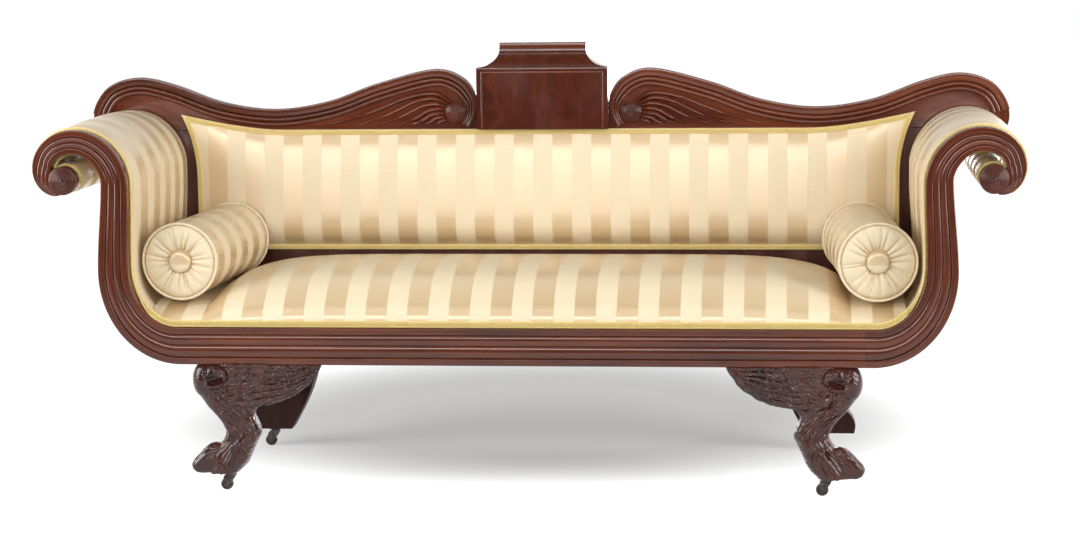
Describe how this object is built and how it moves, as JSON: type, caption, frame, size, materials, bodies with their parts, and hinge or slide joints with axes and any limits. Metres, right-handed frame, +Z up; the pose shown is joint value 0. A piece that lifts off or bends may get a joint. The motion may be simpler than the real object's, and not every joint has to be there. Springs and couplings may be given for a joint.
{
  "type": "settee",
  "caption": "Classical mahogany settee with reeded scroll arms, a scrolled crest with a tablet, winged paw legs on casters, striped upholstery and loose bolsters.",
  "frame": {"origin": "on the floor under the centre of the settee's overall box, where the caster wheels stand", "axes": "+X to the right of someone facing the settee, along its length; +Y from the front to the back; +Z up"},
  "size_m": [2.2092, 0.5814, 0.988],
  "materials": {
    "mahogany": "polished red-brown mahogany with fine grain",
    "dark_mahogany": "dark waxed mahogany",
    "beech": "plain sawn beech",
    "striped_satin": "cream satin with self-coloured stripes",
    "gold_gimp": "woven gold gimp braid",
    "jute_webbing": "woven jute straps",
    "aged_brass": "darkened aged brass"
  },
  "bodies": {
    "frame": {"back_gimp": "gold_gimp", "back_pad": "striped_satin", "crest_tablet": "mahogany", "front_seat_rail": "mahogany", "left_arm_board": "beech", "left_arm_eye": "mahogany", "left_arm_facing": "mahogany", "left_arm_gimp": "gold_gimp", "left_arm_pad": "striped_satin", "left_arm_rail": "beech", "left_back_stile": "mahogany", "left_crest_eye": "mahogany", "left_crest_rail": "mahogany", "left_front_caster_plate": "aged_brass", "left_front_leg": "dark_mahogany", "left_outside_arm": "striped_satin", "left_rear_caster_plate": "aged_brass", "left_rear_leg": "dark_mahogany", "left_seat_brace": "beech", "left_side_rail": "beech", "left_wing_bracket": "dark_mahogany", "lower_back_rail": "beech", "outside_back": "striped_satin", "rear_seat_rail": "dark_mahogany", "right_arm_board": "beech", "right_arm_eye": "mahogany", "right_arm_facing": "mahogany", "right_arm_gimp": "gold_gimp", "right_arm_pad": "striped_satin", "right_arm_rail": "beech", "right_back_stile": "mahogany", "right_crest_eye": "mahogany", "right_crest_rail": "mahogany", "right_front_caster_plate": "aged_brass", "right_front_leg": "dark_mahogany", "right_outside_arm": "striped_satin", "right_rear_caster_plate": "aged_brass", "right_rear_leg": "dark_mahogany", "right_seat_brace": "beech", "right_side_rail": "beech", "right_wing_bracket": "dark_mahogany", "seat_gimp": "gold_gimp", "seat_pad": "striped_satin", "seat_webbing": "jute_webbing", "tablet_cornice": "mahogany", "top_back_rail": "beech"},
    "left_front_swivel": {"left_front_caster_fork": "aged_brass", "left_front_caster_axle": "aged_brass"},
    "left_rear_swivel": {"left_rear_caster_fork": "aged_brass", "left_rear_caster_axle": "aged_brass"},
    "right_front_swivel": {"right_front_caster_fork": "aged_brass", "right_front_caster_axle": "aged_brass"},
    "right_rear_swivel": {"right_rear_caster_fork": "aged_brass", "right_rear_caster_axle": "aged_brass"},
    "left_front_wheel": {"left_front_caster_wheel": "aged_brass"},
    "left_rear_wheel": {"left_rear_caster_wheel": "aged_brass"},
    "right_front_wheel": {"right_front_caster_wheel": "aged_brass"},
    "right_rear_wheel": {"right_rear_caster_wheel": "aged_brass"},
    "left_bolster_cushion": {"left_bolster": "striped_satin"},
    "right_bolster_cushion": {"right_bolster": "striped_satin"}
  },
  "joints": [
    {"name": "left_front_caster_swivel", "type": "hinge", "parent": "frame", "child": "left_front_swivel", "pos_m": [-0.674, -0.22865, 0.035], "axis": [0, 0, 1], "continuous": true},
    {"name": "left_front_wheel_roll", "type": "hinge", "parent": "left_front_swivel", "child": "left_front_wheel", "pos_m": [-0.685, -0.22865, 0.014], "axis": [0, 1, 0], "continuous": true},
    {"name": "left_rear_caster_swivel", "type": "hinge", "parent": "frame", "child": "left_rear_swivel", "pos_m": [-0.674, 0.26035, 0.035], "axis": [0, 0, 1], "continuous": true},
    {"name": "left_rear_wheel_roll", "type": "hinge", "parent": "left_rear_swivel", "child": "left_rear_wheel", "pos_m": [-0.685, 0.26035, 0.014], "axis": [0, 1, 0], "continuous": true},
    {"name": "right_front_caster_swivel", "type": "hinge", "parent": "frame", "child": "right_front_swivel", "pos_m": [0.674, -0.22865, 0.035], "axis": [0, 0, 1], "continuous": true},
    {"name": "right_front_wheel_roll", "type": "hinge", "parent": "right_front_swivel", "child": "right_front_wheel", "pos_m": [0.663, -0.22865, 0.014], "axis": [0, 1, 0], "continuous": true},
    {"name": "right_rear_caster_swivel", "type": "hinge", "parent": "frame", "child": "right_rear_swivel", "pos_m": [0.674, 0.26035, 0.035], "axis": [0, 0, 1], "continuous": true},
    {"name": "right_rear_wheel_roll", "type": "hinge", "parent": "right_rear_swivel", "child": "right_rear_wheel", "pos_m": [0.663, 0.26035, 0.014], "axis": [0, 1, 0], "continuous": true},
    {"name": "left_bolster_lift", "type": "slide", "parent": "frame", "child": "left_bolster_cushion", "axis": [0, 0, 1], "range_m": [0, 0.3]},
    {"name": "right_bolster_lift", "type": "slide", "parent": "frame", "child": "right_bolster_cushion", "axis": [0, 0, 1], "range_m": [0, 0.3]}
  ]
}
